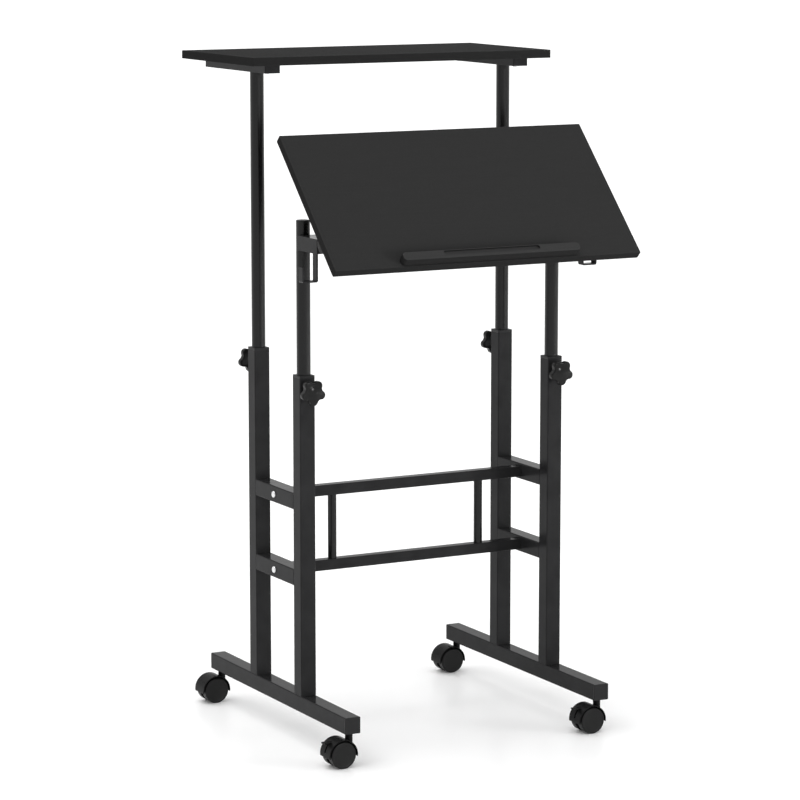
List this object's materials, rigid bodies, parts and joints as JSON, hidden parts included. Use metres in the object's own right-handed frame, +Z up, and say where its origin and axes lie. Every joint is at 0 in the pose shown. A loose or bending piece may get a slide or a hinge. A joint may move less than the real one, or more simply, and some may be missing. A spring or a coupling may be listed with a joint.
{
  "type": "standing desk",
  "caption": "Mobile tiered standing desk: a lifting shelf above a lifting, tilting desktop with a book ledge, on a tube frame with casters, clamped by star knobs.",
  "frame": {"origin": "on the floor, under the middle of the whole desk's box", "axes": "+Z up, -Y the front where the user stands, +X to the user's right"},
  "size_m": [0.612, 0.6334, 1.23],
  "materials": {
    "black_powder_coat": "satin black powder coat on steel tube and plate",
    "black_mast_paint": "smooth semi-gloss black paint on round steel tube",
    "black_plastic": "finely grained moulded black plastic",
    "knob_plastic": "glossy moulded black plastic",
    "caster_plastic": "semi-gloss moulded black nylon",
    "wheel_plastic": "satin moulded black nylon",
    "zinc_steel": "bright zinc-plated steel",
    "black_board": "black melamine-faced particle board with a fine matt grain"
  },
  "bodies": {
    "frame": {"left_foot_rail": "black_powder_coat", "right_foot_rail": "black_powder_coat", "foot_end_caps": "black_plastic", "front_left_post": "black_powder_coat", "front_right_post": "black_powder_coat", "rear_left_post": "black_powder_coat", "rear_right_post": "black_powder_coat", "post_sleeves": "black_plastic", "knob_nuts": "black_powder_coat", "left_upper_side_rail": "black_powder_coat", "left_lower_side_rail": "black_powder_coat", "right_upper_side_rail": "black_powder_coat", "right_lower_side_rail": "black_powder_coat", "upper_crossbar": "black_powder_coat", "lower_crossbar": "black_powder_coat", "crossbar_spindles": "black_powder_coat", "crossbar_bolts": "zinc_steel", "caster_stems": "zinc_steel"},
    "shelf_lift": {"rear_left_mast": "black_mast_paint", "rear_right_mast": "black_mast_paint", "rear_mast_plugs": "black_plastic", "left_shelf_bracket": "black_powder_coat", "right_shelf_bracket": "black_powder_coat", "upper_shelf": "black_board", "shelf_screws": "zinc_steel"},
    "desk_lift": {"front_left_mast": "black_mast_paint", "front_right_mast": "black_mast_paint", "front_mast_plugs": "black_plastic", "left_hinge_arm": "black_powder_coat", "right_hinge_arm": "black_powder_coat", "tilt_pivot_bolts": "black_powder_coat", "left_bag_hook": "black_powder_coat", "right_bag_hook": "black_powder_coat"},
    "desktop": {"desktop_board": "black_board", "book_ledge": "black_board", "left_tilt_bracket": "black_powder_coat", "right_tilt_bracket": "black_powder_coat", "desktop_screws": "zinc_steel"},
    "front_left_clamp": {"front_left_knob": "knob_plastic", "front_left_knob_stud": "zinc_steel"},
    "front_right_clamp": {"front_right_knob": "knob_plastic", "front_right_knob_stud": "zinc_steel"},
    "rear_left_clamp": {"rear_left_knob": "knob_plastic", "rear_left_knob_stud": "zinc_steel"},
    "rear_right_clamp": {"rear_right_knob": "knob_plastic", "rear_right_knob_stud": "zinc_steel"},
    "front_left_caster": {"front_left_caster_hood": "caster_plastic", "front_left_caster_axle": "zinc_steel"},
    "front_left_wheels": {"front_left_caster_wheels": "wheel_plastic"},
    "front_left_brake": {"front_left_brake_lever": "caster_plastic"},
    "front_right_caster": {"front_right_caster_hood": "caster_plastic", "front_right_caster_axle": "zinc_steel"},
    "front_right_wheels": {"front_right_caster_wheels": "wheel_plastic"},
    "front_right_brake": {"front_right_brake_lever": "caster_plastic"},
    "rear_left_caster": {"rear_left_caster_hood": "caster_plastic", "rear_left_caster_axle": "zinc_steel"},
    "rear_left_wheels": {"rear_left_caster_wheels": "wheel_plastic"},
    "rear_right_caster": {"rear_right_caster_hood": "caster_plastic", "rear_right_caster_axle": "zinc_steel"},
    "rear_right_wheels": {"rear_right_caster_wheels": "wheel_plastic"}
  },
  "joints": [
    {"name": "shelf_height", "type": "slide", "parent": "frame", "child": "shelf_lift", "axis": [0, 0, 1], "range_m": [-0.32, 0.1]},
    {"name": "desk_height", "type": "slide", "parent": "frame", "child": "desk_lift", "axis": [0, 0, 1], "range_m": [-0.21, 0.1]},
    {"name": "desk_tilt", "type": "hinge", "parent": "desk_lift", "child": "desktop", "pos_m": [0, -0.18838, 0.9175], "axis": [1, 0, 0], "range_deg": [-45, 15]},
    {"name": "front_left_clamp_turn", "type": "hinge", "parent": "frame", "child": "front_left_clamp", "pos_m": [-0.25525, -0.09748, 0.6455], "axis": [0, -1, 0], "range_deg": [0, 360]},
    {"name": "front_right_clamp_turn", "type": "hinge", "parent": "frame", "child": "front_right_clamp", "pos_m": [0.25525, -0.09748, 0.6455], "axis": [0, -1, 0], "range_deg": [0, 360]},
    {"name": "rear_left_clamp_turn", "type": "hinge", "parent": "frame", "child": "rear_left_clamp", "pos_m": [-0.25525, 0.11682, 0.6725], "axis": [0, 1, 0], "range_deg": [0, 360]},
    {"name": "rear_right_clamp_turn", "type": "hinge", "parent": "frame", "child": "rear_right_clamp", "pos_m": [0.25525, 0.11682, 0.6725], "axis": [0, 1, 0], "range_deg": [0, 360]},
    {"name": "front_left_swivel", "type": "hinge", "parent": "frame", "child": "front_left_caster", "pos_m": [-0.25525, -0.25433, 0.06], "axis": [0, 0, 1], "continuous": true},
    {"name": "front_left_wheel_spin", "type": "hinge", "parent": "front_left_caster", "child": "front_left_wheels", "pos_m": [-0.27455, -0.25433, 0.024], "axis": [0, 1, 0], "continuous": true},
    {"name": "front_left_brake_press", "type": "hinge", "parent": "front_left_caster", "child": "front_left_brake", "pos_m": [-0.28757, -0.25433, 0.03493], "axis": [0, -1, 0], "range_deg": [0, 14]},
    {"name": "front_right_swivel", "type": "hinge", "parent": "frame", "child": "front_right_caster", "pos_m": [0.25525, -0.25433, 0.06], "axis": [0, 0, 1], "continuous": true},
    {"name": "front_right_wheel_spin", "type": "hinge", "parent": "front_right_caster", "child": "front_right_wheels", "pos_m": [0.23595, -0.25433, 0.024], "axis": [0, 1, 0], "continuous": true},
    {"name": "front_right_brake_press", "type": "hinge", "parent": "front_right_caster", "child": "front_right_brake", "pos_m": [0.22293, -0.25433, 0.03493], "axis": [0, -1, 0], "range_deg": [0, 14]},
    {"name": "rear_left_swivel", "type": "hinge", "parent": "frame", "child": "rear_left_caster", "pos_m": [-0.25525, 0.27367, 0.06], "axis": [0, 0, 1], "continuous": true},
    {"name": "rear_left_wheel_spin", "type": "hinge", "parent": "rear_left_caster", "child": "rear_left_wheels", "pos_m": [-0.27455, 0.27367, 0.024], "axis": [0, 1, 0], "continuous": true},
    {"name": "rear_right_swivel", "type": "hinge", "parent": "frame", "child": "rear_right_caster", "pos_m": [0.25525, 0.27367, 0.06], "axis": [0, 0, 1], "continuous": true},
    {"name": "rear_right_wheel_spin", "type": "hinge", "parent": "rear_right_caster", "child": "rear_right_wheels", "pos_m": [0.23595, 0.27367, 0.024], "axis": [0, 1, 0], "continuous": true}
  ]
}
